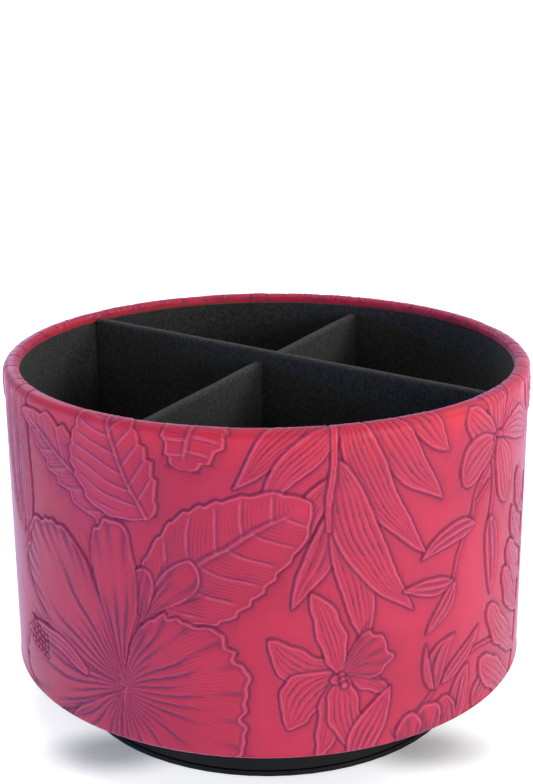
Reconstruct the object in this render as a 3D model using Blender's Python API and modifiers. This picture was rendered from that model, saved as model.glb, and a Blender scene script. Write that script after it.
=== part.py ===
"""Lazy susan desk organizer: a divided, leather-covered drum that turns on a ball race in a low base.

Metres, +Z up. The origin is on the floor, on the axis that the organizer turns about.
Run with: blender --background --python part.py
"""

import math

import bmesh
import bpy
from mathutils import Matrix, Vector

# Driving dimensions
OUTER_RADIUS = 0.0950
TOTAL_HEIGHT = 0.1320
BODY_BOTTOM = 0.0209        # underside of the leather's turned-in hem
BASE_RADIUS = 0.0733
GAP = 0.0003                # between pieces that rest on each other
RUNNING_GAP = 0.0001        # radial, between the pivot bolt and the bores that turn on it

LEATHER = 0.0012
HEM_LEATHER = 0.0010
FLAP_LEATHER = 0.0009
RIM_OUTER_ROUND = 0.0032
RIM_INNER_ROUND = 0.0019
FLAP_DEPTH = 0.0033         # how far down inside the leather reaches
HEM_WIDTH = 0.0080
WALL_BOARD = 0.0030
LINING = 0.0008
FLOOR_BOARD = 0.0040
BOTTOM_COVER = 0.0006
BOTTOM_COVER_INSET = 0.0035
FLOOR_PAD = 0.0010

DIVIDER = 0.0040            # board and felt together
DIVIDER_FELT = 0.0005
DIVIDER_ROUND = 0.0014
MAIN_ANGLE = math.radians(-37.2)
MAIN_OFFSET = 0.0050        # of its middle plane, behind the axis
MAIN_TOP = TOTAL_HEIGHT - 0.0020
CROSS_ANGLE = math.radians(62.3)
CROSS_OFFSET = 0.0056       # of its middle plane, towards the left
FRONT_CROSS_TOP = TOTAL_HEIGHT - 0.0063
REAR_CROSS_TOP = TOTAL_HEIGHT - 0.0067

FOOT_COUNT = 6
FOOT_RADIUS = 0.0060
FOOT_CIRCLE = 0.0640
FOOT_HEIGHT = 0.0010
FOOT_RECESS = 0.0008
LOWER_PLATE_BOTTOM = 0.0005
LOWER_PLATE_TOP = 0.0023
SKIRT_BOTTOM = 0.0029
SKIRT_WALL = 0.0027
DRUM_TOP_PLATE = 0.0025

BALL_COUNT = 12
BALL_RADIUS = 0.0025
BALL_CIRCLE = 0.0450
BALL_HEIGHT = 0.0068        # of the balls' centres
RACE_HALF_WIDTH = 0.0055
RACE_GAP = 0.0016           # from the balls' centres to the flat tops of the races
CAGE_HALF_WIDTH = 0.0070
CAGE_THICKNESS = 0.0016

HUB_RADIUS = 0.0120
LOWER_HUB_TOP = 0.0075
BOLT_RADIUS = 0.0030
BOLT_HEAD_RADIUS = 0.0060
BOLT_HEAD = 0.0021
THRUST_WASHER = 0.0008
THRUST_WASHER_RADIUS = 0.0100
HUB_SEAT = 0.0132           # floor of the drum's nut pocket
NUT_POCKET_RADIUS = 0.0080
NUT_WASHER = 0.0008
NUT_WASHER_RADIUS = 0.0070
NUT_FLATS = 0.0100
NUT_HEIGHT = 0.0040
RIB_COUNT = 6
RIB_THICKNESS = 0.0020
RIB_BOTTOM = 0.0100

SCREW_COUNT = 4
SCREW_CIRCLE = 0.0600
SCREW_RADIUS = 0.0015
SCREW_HEAD_RADIUS = 0.0032
SCREW_HEAD = 0.0020
SCREW_BITE = 0.0030         # length in the floor board

TURN_STEPS = 64
WALL_STEPS = 64
SMALL_STEPS = 24
HOLE_STEPS = 12
GROOVE_STEPS = 4
BALL_STEPS = 12
CUT_PAST = 0.001            # how far a cutter runs past the face that it opens
MERGE = 0.00001

# Worked-out levels and radii
DRUM_TOP = BODY_BOTTOM - 2 * GAP - BOTTOM_COVER
DRUM_CEILING = DRUM_TOP - DRUM_TOP_PLATE
BOARD_OUTER = OUTER_RADIUS - LEATHER - GAP
BOARD_INNER = BOARD_OUTER - WALL_BOARD
BOARD_BOTTOM = BODY_BOTTOM + HEM_LEATHER + GAP
FLOOR_TOP = BOARD_BOTTOM + FLOOR_BOARD
LINING_OUTER = BOARD_INNER - GAP
LINING_INNER = LINING_OUTER - LINING
LINING_TOP = TOTAL_HEIGHT - FLAP_DEPTH - GAP
FELT_BOTTOM = FLOOR_TOP + GAP
DIVIDER_REACH = LINING_INNER - GAP - 0.0001     # radius that the dividers' corners stay inside
PAD_REACH = LINING_INNER - GAP


def clear_scene():
    for obj in list(bpy.data.objects):
        bpy.data.objects.remove(obj, do_unlink=True)


def make_collection(name):
    collection = bpy.data.collections.new(name)
    bpy.context.scene.collection.children.link(collection)
    return collection


def make_material(name, colour, roughness, metallic=0.0):
    material = bpy.data.materials.new(name)
    material.use_nodes = True
    shader = material.node_tree.nodes["Principled BSDF"]
    shader.inputs["Base Color"].default_value = (*colour, 1.0)
    shader.inputs["Roughness"].default_value = roughness
    shader.inputs["Metallic"].default_value = metallic
    return material


def place(name, mesh, material, body):
    """Links a new object for the mesh, parented to the empty of the body that it moves with."""
    obj = bpy.data.objects.new(name, mesh)
    parts.objects.link(obj)
    if not mesh.materials:
        mesh.materials.append(material)
    obj.parent = body
    return obj


def mesh_from(bm, name):
    mesh = bpy.data.meshes.new(name)
    bmesh.ops.recalc_face_normals(bm, faces=bm.faces)
    bm.to_mesh(mesh)
    bm.free()
    return mesh


def make_body(name):
    empty = bpy.data.objects.new(name, None)
    parts.objects.link(empty)
    return empty


def cutter(name, mesh):
    obj = bpy.data.objects.new(name, mesh)
    helpers.objects.link(obj)
    obj.hide_render = True
    obj.display_type = "WIRE"
    return obj


def combine(obj, helper, operation):
    modifier = obj.modifiers.new(helper.name, "BOOLEAN")
    modifier.operation = operation
    modifier.object = helper
    modifier.solver = "EXACT"


def arc(centre_x, centre_z, radius, start, end, count):
    """Points on an arc in the profile's plane, in degrees, both ends included."""
    angles = [math.radians(start + (end - start) * i / count) for i in range(count + 1)]
    return [(centre_x + radius * math.cos(a), centre_z + radius * math.sin(a)) for a in angles]


def profile_mesh(name, profile):
    """The profile as edges, left open where its two ends lie on the axis."""
    mesh = bpy.data.meshes.new(name)
    solid_core = profile[0][0] == 0 and profile[-1][0] == 0
    edges = [(i, i + 1) for i in range(len(profile) - 1)]
    if not solid_core:
        edges.append((len(profile) - 1, 0))
    mesh.from_pydata([(x, 0.0, z) for x, z in profile], edges, [])
    return mesh


def turn(obj, steps):
    screw = obj.modifiers.new("Turn", "SCREW")
    screw.axis = "Z"
    screw.angle = math.tau
    screw.steps = steps
    screw.render_steps = steps
    screw.use_merge_vertices = True
    screw.merge_threshold = MERGE


def turned(name, profile, material, body, steps=TURN_STEPS):
    """A profile, running down its outer side, turned about Z."""
    obj = place(name, profile_mesh(name, profile), material, body)
    turn(obj, steps)
    return obj


def ring_profile(inner, outer, bottom, top):
    return [(inner, top), (outer, top), (outer, bottom), (inner, bottom)]


def cylinders(name, centres, radius, bottom, top, segments):
    """One mesh of closed upright cylinders, one at each (x, y) centre."""
    bm = bmesh.new()
    for x, y in centres:
        at = Matrix.Translation((x, y, (bottom + top) / 2))
        bmesh.ops.create_cone(bm, cap_ends=True, segments=segments, radius1=radius,
                              radius2=radius, depth=top - bottom, matrix=at)
    return mesh_from(bm, name)


def circle_points(count, radius, start=0.0):
    turns = [start + math.tau * i / count for i in range(count)]
    return [(radius * math.cos(a), radius * math.sin(a)) for a in turns]


def disc(name, radius, bottom, top, material, body, segments=WALL_STEPS):
    return place(name, cylinders(name, [(0, 0)], radius, bottom, top, segments), material, body)


# Base: the plate that stays on the desk

def race_groove(above):
    """The round groove that the balls run in, from its outer lip in for a lower race."""
    radius = BALL_RADIUS + GAP
    lip = math.degrees(math.asin(RACE_GAP / radius))
    if above:
        return arc(BALL_CIRCLE, BALL_HEIGHT, radius, lip, 180 - lip, GROOVE_STEPS)
    return arc(BALL_CIRCLE, BALL_HEIGHT, radius, 180 + lip, 360 - lip, GROOVE_STEPS)


def make_lower_plate(material, body):
    race_top = BALL_HEIGHT - RACE_GAP
    bore = BOLT_RADIUS + RUNNING_GAP
    head_pocket = BOLT_HEAD_RADIUS + GAP
    head_seat = LOWER_PLATE_BOTTOM + BOLT_HEAD + 2 * GAP
    inner_race = BALL_CIRCLE - RACE_HALF_WIDTH
    outer_race = BALL_CIRCLE + RACE_HALF_WIDTH
    profile = [
        (bore, LOWER_HUB_TOP), (HUB_RADIUS, LOWER_HUB_TOP),
        (HUB_RADIUS, LOWER_PLATE_TOP), (inner_race, LOWER_PLATE_TOP), (inner_race, race_top),
        *race_groove(above=False),
        (outer_race, race_top), (outer_race, LOWER_PLATE_TOP), (BASE_RADIUS, LOWER_PLATE_TOP),
        (BASE_RADIUS, LOWER_PLATE_BOTTOM), (head_pocket, LOWER_PLATE_BOTTOM),
        (head_pocket, head_seat), (bore, head_seat),
    ]
    plate = turned("lower_plate", profile, material, body)
    recess_top = LOWER_PLATE_BOTTOM + FOOT_RECESS
    mesh = cylinders("foot_recesses", circle_points(FOOT_COUNT, FOOT_CIRCLE),
                     FOOT_RADIUS + GAP, LOWER_PLATE_BOTTOM - CUT_PAST, recess_top, SMALL_STEPS)
    combine(plate, cutter("foot_recesses", mesh), "DIFFERENCE")


def make_feet(material, body):
    mesh = cylinders("foot", [(0, 0)], FOOT_RADIUS, 0.0, FOOT_HEIGHT, SMALL_STEPS)
    for number, (x, y) in enumerate(circle_points(FOOT_COUNT, FOOT_CIRCLE), 1):
        foot = place(f"foot_{number}", mesh, material, body)
        foot.location = (x, y, 0)


def make_pivot(steel, nylon, body):
    head_bottom = LOWER_PLATE_BOTTOM + GAP
    bolt_top = DRUM_TOP - 2 * GAP
    head_top = head_bottom + BOLT_HEAD
    profile = [
        (0, bolt_top), (BOLT_RADIUS, bolt_top), (BOLT_RADIUS, head_top),
        (BOLT_HEAD_RADIUS, head_top), (BOLT_HEAD_RADIUS, head_bottom), (0, head_bottom),
    ]
    turned("pivot_bolt", profile, steel, body, SMALL_STEPS)

    hole = BOLT_RADIUS + GAP
    thrust_bottom = LOWER_HUB_TOP + GAP
    turned("thrust_washer", ring_profile(hole, THRUST_WASHER_RADIUS, thrust_bottom,
                                         thrust_bottom + THRUST_WASHER),
           nylon, body, SMALL_STEPS)
    washer_bottom = HUB_SEAT + GAP
    washer_top = washer_bottom + NUT_WASHER
    turned("nut_washer", ring_profile(hole, NUT_WASHER_RADIUS, washer_bottom, washer_top),
           steel, body, SMALL_STEPS)

    nut_bottom = washer_top + GAP
    corner = NUT_FLATS / math.sqrt(3)
    nut = disc("lock_nut", corner, nut_bottom, nut_bottom + NUT_HEIGHT, steel, body, segments=6)
    bore = cylinders("nut_bore", [(0, 0)], hole, nut_bottom - CUT_PAST,
                     nut_bottom + NUT_HEIGHT + CUT_PAST, SMALL_STEPS)
    combine(nut, cutter("nut_bore", bore), "DIFFERENCE")


# Ball ring: the cage and its balls, which roll round at half the drum's speed

def make_ball_ring(nylon, steel, body):
    bottom = BALL_HEIGHT - CAGE_THICKNESS / 2
    top = BALL_HEIGHT + CAGE_THICKNESS / 2
    centres = circle_points(BALL_COUNT, BALL_CIRCLE)
    cage = turned("ball_cage", ring_profile(BALL_CIRCLE - CAGE_HALF_WIDTH,
                                            BALL_CIRCLE + CAGE_HALF_WIDTH, bottom, top),
                  nylon, body)
    pockets = cylinders("ball_pockets", centres, BALL_RADIUS + GAP, bottom - CUT_PAST,
                        top + CUT_PAST, HOLE_STEPS)
    combine(cage, cutter("ball_pockets", pockets), "DIFFERENCE")

    bm = bmesh.new()
    bmesh.ops.create_uvsphere(bm, u_segments=BALL_STEPS, v_segments=BALL_STEPS // 2, radius=BALL_RADIUS)
    mesh = mesh_from(bm, "ball")
    for number, (x, y) in enumerate(centres, 1):
        ball = place(f"ball_{number:02d}", mesh, steel, body)
        ball.location = (x, y, BALL_HEIGHT)


# Drum: the skirted upper plate that turns on the balls, and its screws

def rib_mesh(inner_start, inner_end, outer_start, outer_end):
    """Stiffening ribs between the hub, the race ring and the skirt, as separate boxes."""
    bm = bmesh.new()
    top = DRUM_CEILING + DRUM_TOP_PLATE / 2
    for i in range(RIB_COUNT):
        swing = Matrix.Rotation(math.tau * (i + 0.5) / RIB_COUNT, 4, "Z")
        for start, end in ((inner_start, inner_end), (outer_start, outer_end)):
            size = Matrix.Diagonal((end - start, RIB_THICKNESS, top - RIB_BOTTOM, 1))
            middle = Matrix.Translation(((start + end) / 2, 0, (top + RIB_BOTTOM) / 2))
            bmesh.ops.create_cube(bm, size=1, matrix=swing @ middle @ size)
    return mesh_from(bm, "drum_ribs")


def make_drum(material, body):
    race_bottom = BALL_HEIGHT + RACE_GAP
    bore = BOLT_RADIUS + RUNNING_GAP
    hub_bottom = LOWER_HUB_TOP + THRUST_WASHER + 2 * GAP
    inner_race = BALL_CIRCLE - RACE_HALF_WIDTH
    outer_race = BALL_CIRCLE + RACE_HALF_WIDTH
    skirt_inner = BASE_RADIUS - SKIRT_WALL
    profile = [
        (NUT_POCKET_RADIUS, DRUM_TOP), (BASE_RADIUS, DRUM_TOP), (BASE_RADIUS, SKIRT_BOTTOM),
        (skirt_inner, SKIRT_BOTTOM), (skirt_inner, DRUM_CEILING), (outer_race, DRUM_CEILING),
        (outer_race, race_bottom), *race_groove(above=True), (inner_race, race_bottom),
        (inner_race, DRUM_CEILING), (HUB_RADIUS, DRUM_CEILING), (HUB_RADIUS, hub_bottom),
        (bore, hub_bottom), (bore, HUB_SEAT), (NUT_POCKET_RADIUS, HUB_SEAT),
    ]
    drum = turned("turntable_drum", profile, material, body)
    ribs = rib_mesh(HUB_RADIUS - CUT_PAST, inner_race + CUT_PAST,
                    outer_race - CUT_PAST, skirt_inner + CUT_PAST)
    combine(drum, cutter("drum_ribs", ribs), "UNION")
    holes = cylinders("drum_screw_holes", screw_centres(), SCREW_RADIUS + GAP,
                      DRUM_CEILING - CUT_PAST, DRUM_TOP + CUT_PAST, HOLE_STEPS)
    combine(drum, cutter("drum_screw_holes", holes), "DIFFERENCE")


def screw_centres():
    return circle_points(SCREW_COUNT, SCREW_CIRCLE, math.radians(45))


def make_screws(material, body):
    head_top = DRUM_CEILING - GAP
    head_bottom = head_top - SCREW_HEAD
    tip = BOARD_BOTTOM + SCREW_BITE
    crown = SCREW_HEAD_RADIUS * 0.7
    profile = [
        (0, tip), (SCREW_RADIUS, tip), (SCREW_RADIUS, head_top), (SCREW_HEAD_RADIUS, head_top),
        (SCREW_HEAD_RADIUS, head_top - SCREW_HEAD / 2), (crown, head_bottom), (0, head_bottom),
    ]
    mesh = profile_mesh("drum_screw", profile)
    for number, (x, y) in enumerate(screw_centres(), 1):
        screw = place(f"drum_screw_{number}", mesh, material, body)
        screw.location = (x, y, 0)
        turn(screw, HOLE_STEPS)


# Cup: boards, leather and linings

def make_bottom_cover(material, body):
    bottom = DRUM_TOP + GAP
    cover = disc("bottom_cover", OUTER_RADIUS - BOTTOM_COVER_INSET, bottom, bottom + BOTTOM_COVER,
                 material, body)
    holes = cylinders("cover_screw_holes", screw_centres(), SCREW_RADIUS + GAP,
                      bottom - CUT_PAST, bottom + BOTTOM_COVER + CUT_PAST, HOLE_STEPS)
    combine(cover, cutter("cover_screw_holes", holes), "DIFFERENCE")


def make_floor_board(material, body):
    board = disc("floor_board", LINING_OUTER, BOARD_BOTTOM, FLOOR_TOP, material, body)
    holes = cylinders("board_screw_holes", screw_centres(), SCREW_RADIUS + GAP,
                      BOARD_BOTTOM - CUT_PAST, BOARD_BOTTOM + SCREW_BITE + GAP, HOLE_STEPS)
    combine(board, cutter("board_screw_holes", holes), "DIFFERENCE")


def make_wall_board(material, body):
    round_centre = OUTER_RADIUS - RIM_OUTER_ROUND
    round_height = TOTAL_HEIGHT - RIM_OUTER_ROUND
    outer_round = BOARD_OUTER - round_centre
    board_top = round_height + outer_round
    inner_round = 0.0007
    profile = [
        *arc(round_centre, round_height, outer_round, 90, 0, 2),
        (BOARD_OUTER, BOARD_BOTTOM), (BOARD_INNER, BOARD_BOTTOM),
        *arc(BOARD_INNER + inner_round, board_top - inner_round, inner_round, 180, 90, 1),
    ]
    turned("wall_board", profile, material, body, WALL_STEPS)


def make_leather(material, body):
    outer_x = OUTER_RADIUS - RIM_OUTER_ROUND
    outer_z = TOTAL_HEIGHT - RIM_OUTER_ROUND
    flap_inner = LINING_OUTER - FLAP_LEATHER
    inner_x = flap_inner + RIM_INNER_ROUND
    inner_z = TOTAL_HEIGHT - RIM_INNER_ROUND
    flap_end = TOTAL_HEIGHT - FLAP_DEPTH
    hem_inner = OUTER_RADIUS - HEM_WIDTH
    inside = OUTER_RADIUS - LEATHER
    profile = [
        *arc(outer_x, outer_z, RIM_OUTER_ROUND, 90, 0, 5),
        (OUTER_RADIUS, BODY_BOTTOM), (hem_inner, BODY_BOTTOM),
        (hem_inner, BODY_BOTTOM + HEM_LEATHER), (inside, BODY_BOTTOM + HEM_LEATHER),
        *arc(outer_x, outer_z, RIM_OUTER_ROUND - LEATHER, 0, 90, 3),
        *arc(inner_x, inner_z, RIM_INNER_ROUND - FLAP_LEATHER, 90, 180, 2),
        (LINING_OUTER, flap_end), (flap_inner, flap_end),
        *arc(inner_x, inner_z, RIM_INNER_ROUND, 180, 90, 3),
    ]
    turned("leather_wrap", profile, material, body, WALL_STEPS)


def make_wall_lining(material, body):
    turned("wall_lining", ring_profile(LINING_INNER, LINING_OUTER, FELT_BOTTOM, LINING_TOP),
           material, body, WALL_STEPS)


def direction(angle):
    return Vector((math.cos(angle), math.sin(angle)))


def normal(angle):
    return Vector((-math.sin(angle), math.cos(angle)))


def meet(angle_a, offset_a, angle_b, offset_b):
    """Where two straight lines cross, each given by its angle and its offset along its normal."""
    na, nb = normal(angle_a), normal(angle_b)
    size = na.x * nb.y - na.y * nb.x
    return Vector(((offset_a * nb.y - offset_b * na.y) / size,
                   (na.x * offset_b - nb.x * offset_a) / size))


def reach(offset, radius):
    """Half the chord that a line at this offset cuts from a circle."""
    return math.sqrt(radius ** 2 - offset ** 2)


def divider_section(half, top, corner):
    """Half-round-cornered outline of a divider's upper end, from its lower left to its lower right."""
    return [
        (-half, FELT_BOTTOM), *arc(-half + corner, top - corner, corner, 180, 90, 3),
        *arc(half - corner, top - corner, corner, 90, 0, 3), (half, FELT_BOTTOM),
    ]


def extruded_section(name, outline, start, end, material, body, angle, middle):
    """A section across a divider, extruded along it from start to end and turned into place."""
    bm = bmesh.new()
    face = bm.faces.new([bm.verts.new((start, x, z)) for x, z in outline])
    made = bmesh.ops.extrude_face_region(bm, geom=[face])["geom"]
    moved = [v for v in made if isinstance(v, bmesh.types.BMVert)]
    bmesh.ops.translate(bm, verts=moved, vec=(end - start, 0, 0))
    obj = place(name, mesh_from(bm, name), material, body)
    obj.location = (middle.x, middle.y, 0)
    obj.rotation_euler = (0, 0, angle)
    return obj


def make_divider(name, angle, middle, start, end, top, board, felt, body):
    """A board with a felt cover folded over its top."""
    half = DIVIDER / 2
    inner = half - DIVIDER_FELT
    board_half = inner - GAP
    outside = divider_section(half, top, DIVIDER_ROUND)
    inside = divider_section(inner, top - DIVIDER_FELT, DIVIDER_ROUND - DIVIDER_FELT)
    extruded_section(f"{name}_felt", outside + inside[::-1], start, end, felt, body, angle, middle)
    core = divider_section(board_half, top - DIVIDER_FELT - GAP, DIVIDER_ROUND - DIVIDER_FELT - GAP)
    extruded_section(f"{name}_board", core, start, end, board, body, angle, middle)


def make_dividers(board, felt, body):
    half = DIVIDER / 2
    main_middle = normal(MAIN_ANGLE) * MAIN_OFFSET
    main_half = reach(MAIN_OFFSET + half, DIVIDER_REACH)
    make_divider("main_divider", MAIN_ANGLE, main_middle, -main_half, main_half, MAIN_TOP,
                 board, felt, body)

    cross_middle = meet(MAIN_ANGLE, MAIN_OFFSET, CROSS_ANGLE, CROSS_OFFSET)
    foot = normal(CROSS_ANGLE) * CROSS_OFFSET
    along = (cross_middle - foot).dot(direction(CROSS_ANGLE))
    cross_reach = reach(abs(CROSS_OFFSET) + half, DIVIDER_REACH)
    lean = abs(math.cos(CROSS_ANGLE - MAIN_ANGLE))
    clear = (half + half * lean) / math.sqrt(1 - lean ** 2) + GAP
    make_divider("front_divider", CROSS_ANGLE, cross_middle, -cross_reach - along, -clear,
                 FRONT_CROSS_TOP, board, felt, body)
    make_divider("rear_divider", CROSS_ANGLE, cross_middle, clear, cross_reach - along,
                 REAR_CROSS_TOP, board, felt, body)


def make_floor_pads(material, body):
    """One felt pad on the floor of each compartment: two straight sides and a round one."""
    clear = DIVIDER / 2 + GAP
    names = {(-1, 1): "floor_pad_front_left", (-1, -1): "floor_pad_front_right",
             (1, 1): "floor_pad_rear_left", (1, -1): "floor_pad_rear_right"}
    for (main_side, cross_side), name in names.items():
        main_offset = MAIN_OFFSET + main_side * clear
        cross_offset = CROSS_OFFSET + cross_side * clear
        corner = meet(MAIN_ANGLE, main_offset, CROSS_ANGLE, cross_offset)
        # the pad's wall ends, on the side of the crossing that its compartment lies
        main_end = (normal(MAIN_ANGLE) * main_offset
                    - direction(MAIN_ANGLE) * cross_side * reach(main_offset, PAD_REACH))
        cross_end = (normal(CROSS_ANGLE) * cross_offset
                     + direction(CROSS_ANGLE) * main_side * reach(cross_offset, PAD_REACH))
        first = math.atan2(main_end.y, main_end.x)
        sweep = (math.atan2(cross_end.y, cross_end.x) - first + math.pi) % math.tau - math.pi
        steps = round(WALL_STEPS * abs(sweep) / math.tau)
        wall = [PAD_REACH * direction(first + sweep * i / steps) for i in range(steps + 1)]
        bm = bmesh.new()
        face = bm.faces.new([bm.verts.new((p.x, p.y, FELT_BOTTOM)) for p in [corner, *wall]])
        made = bmesh.ops.extrude_face_region(bm, geom=[face])["geom"]
        moved = [v for v in made if isinstance(v, bmesh.types.BMVert)]
        bmesh.ops.translate(bm, verts=moved, vec=(0, 0, FLOOR_PAD))
        place(name, mesh_from(bm, name), material, body)


def smooth_round_pieces():
    for obj in parts.objects:
        if obj.type == "MESH" and obj.data.polygons:
            obj.data.shade_smooth()
            obj.data.set_sharp_from_angle(angle=math.radians(35))


clear_scene()
parts = make_collection("lazy_susan_organizer")
helpers = make_collection("cutters")

black_plastic = make_material("black_plastic", (0.012, 0.012, 0.013), 0.45)
black_rubber = make_material("black_rubber", (0.015, 0.015, 0.015), 0.8)
steel = make_material("zinc_steel", (0.62, 0.62, 0.60), 0.3, 1.0)
white_nylon = make_material("white_nylon", (0.75, 0.74, 0.70), 0.5)
fibreboard = make_material("fibreboard", (0.36, 0.24, 0.14), 0.85)
raspberry_leather = make_material("raspberry_leather", (0.55, 0.03, 0.08), 0.45)
black_felt = make_material("black_felt", (0.02, 0.02, 0.02), 0.95)
black_backing = make_material("black_backing", (0.015, 0.015, 0.016), 0.6)

base_body = make_body("base_axis")
ring_body = make_body("ball_ring_axis")
cup_body = make_body("cup_axis")

make_lower_plate(black_plastic, base_body)
make_feet(black_rubber, base_body)
make_pivot(steel, white_nylon, base_body)
make_ball_ring(white_nylon, steel, ring_body)
make_drum(black_plastic, cup_body)
make_screws(steel, cup_body)
make_bottom_cover(black_backing, cup_body)
make_floor_board(fibreboard, cup_body)
make_wall_board(fibreboard, cup_body)
make_leather(raspberry_leather, cup_body)
make_wall_lining(black_felt, cup_body)
make_dividers(fibreboard, black_felt, cup_body)
make_floor_pads(black_felt, cup_body)
smooth_round_pieces()
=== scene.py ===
import math
import random

import bmesh
import bpy
import numpy as np
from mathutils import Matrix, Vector


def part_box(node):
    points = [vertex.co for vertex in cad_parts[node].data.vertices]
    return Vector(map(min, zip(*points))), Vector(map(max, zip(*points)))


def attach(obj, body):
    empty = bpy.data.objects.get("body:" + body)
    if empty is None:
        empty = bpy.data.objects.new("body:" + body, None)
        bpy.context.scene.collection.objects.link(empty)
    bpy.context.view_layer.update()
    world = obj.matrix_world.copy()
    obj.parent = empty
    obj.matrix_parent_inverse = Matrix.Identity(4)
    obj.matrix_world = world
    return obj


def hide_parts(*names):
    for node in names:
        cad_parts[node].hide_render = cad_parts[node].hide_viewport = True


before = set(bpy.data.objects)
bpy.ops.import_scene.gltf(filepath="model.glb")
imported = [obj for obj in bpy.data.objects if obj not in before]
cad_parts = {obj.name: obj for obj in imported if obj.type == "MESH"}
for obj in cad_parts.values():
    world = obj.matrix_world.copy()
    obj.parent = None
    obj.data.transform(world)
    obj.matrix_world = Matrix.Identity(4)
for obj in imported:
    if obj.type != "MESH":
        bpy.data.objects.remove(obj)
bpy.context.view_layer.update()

mm = 0.001


# embossed pattern of the leather, in mm on the unrolled wall: u runs round it from the front, v up it
pressPlan = {
    "columns": 1656,
    "quickColumns": 900,
    "step": 0.36,                   # up the wall
    "quickStep": 0.66,
    "spare": 7.0,                   # round a motif, for its dye and painted shade
    "outline": 0.36,                # over which a motif rises at its outline
    "motifRise": 0.24,              # of its inside over the ground
    # along an outline: how far from it, half-width, and height or depth
    "ridge": (0.55, 0.31, 0.18),    # raised line just inside it
    "shoulder": (1.7, 0.8, 0.08),   # dip behind that line
    "moat": (0.38, 0.40, 0.34),     # pressed line just outside it
    "softReach": 2.3,               # how far the dye and painted shade round a motif fade out
    "softDrop": 0.05,
}

leafPlan = {
    # half-width and height of a raised line, and how far off, half-width and depth of what is beside it
    "vein": (0.36, 0.15),
    "besideVein": (0.85, 0.4, 0.10),
    "midrib": (0.6, 0.20),
    "besideMidrib": (1.15, 0.42, 0.16),
    "ribDrop": 0.07,
    "belly": 0.12,
}

petalPlan = {
    "lines": 80,                    # random lengths, half of them for folds and half for pleats
    "fold": (0.13, 0.20),           # height beside it and depth
    "foldWide": (0.42, 0.010),      # half-width in the throat, and how it grows outwards
    "pleat": (0.12, 0.24),
    "pleatWide": (1.25, 0.045, 0.42),   # at the edge, how it shrinks inwards, and the least
    "pleatReach": 19,
    "hem": (1.75, 0.38, 0.16),      # how far in, half-width and depth
    "belly": 0.10,
    "lineSpread": 95,               # fine lines are this much further apart than degrees and mm give
}


def smooth(x):
    x = np.clip(x, 0, 1)
    return x * x * (3 - 2 * x)


def bell(x, width):
    return np.exp(-(x / width) ** 2)


def boxRound(reach, *points):
    across, up = zip(*points)
    return min(across) - reach, max(across) + reach, min(up) - reach, max(up) + reach


def spine(start, end, bend):
    # a bent line to measure from: the share of the way along it, the same kept on it, the distance
    # to its left, and the distance past its ends
    run = math.dist(start, end)
    alongU = (end[0] - start[0]) / run
    alongV = (end[1] - start[1]) / run

    def measure(u, v):
        x = ((u - start[0]) * alongU + (v - start[1]) * alongV) / run
        s = np.clip(x, 0, 1)
        y = (v - start[1]) * alongU - (u - start[0]) * alongV - bend * 4 * s * (1 - s)
        return x, s, y, np.where(x < 0, -x, np.where(x > 1, x - 1, 0)) * run

    return measure


def inside(width, side, beyond):
    # signed distance in from the outline of what has this half-width along its spine
    return np.where(beyond > 0, -np.hypot(beyond, side), width - side)


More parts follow.
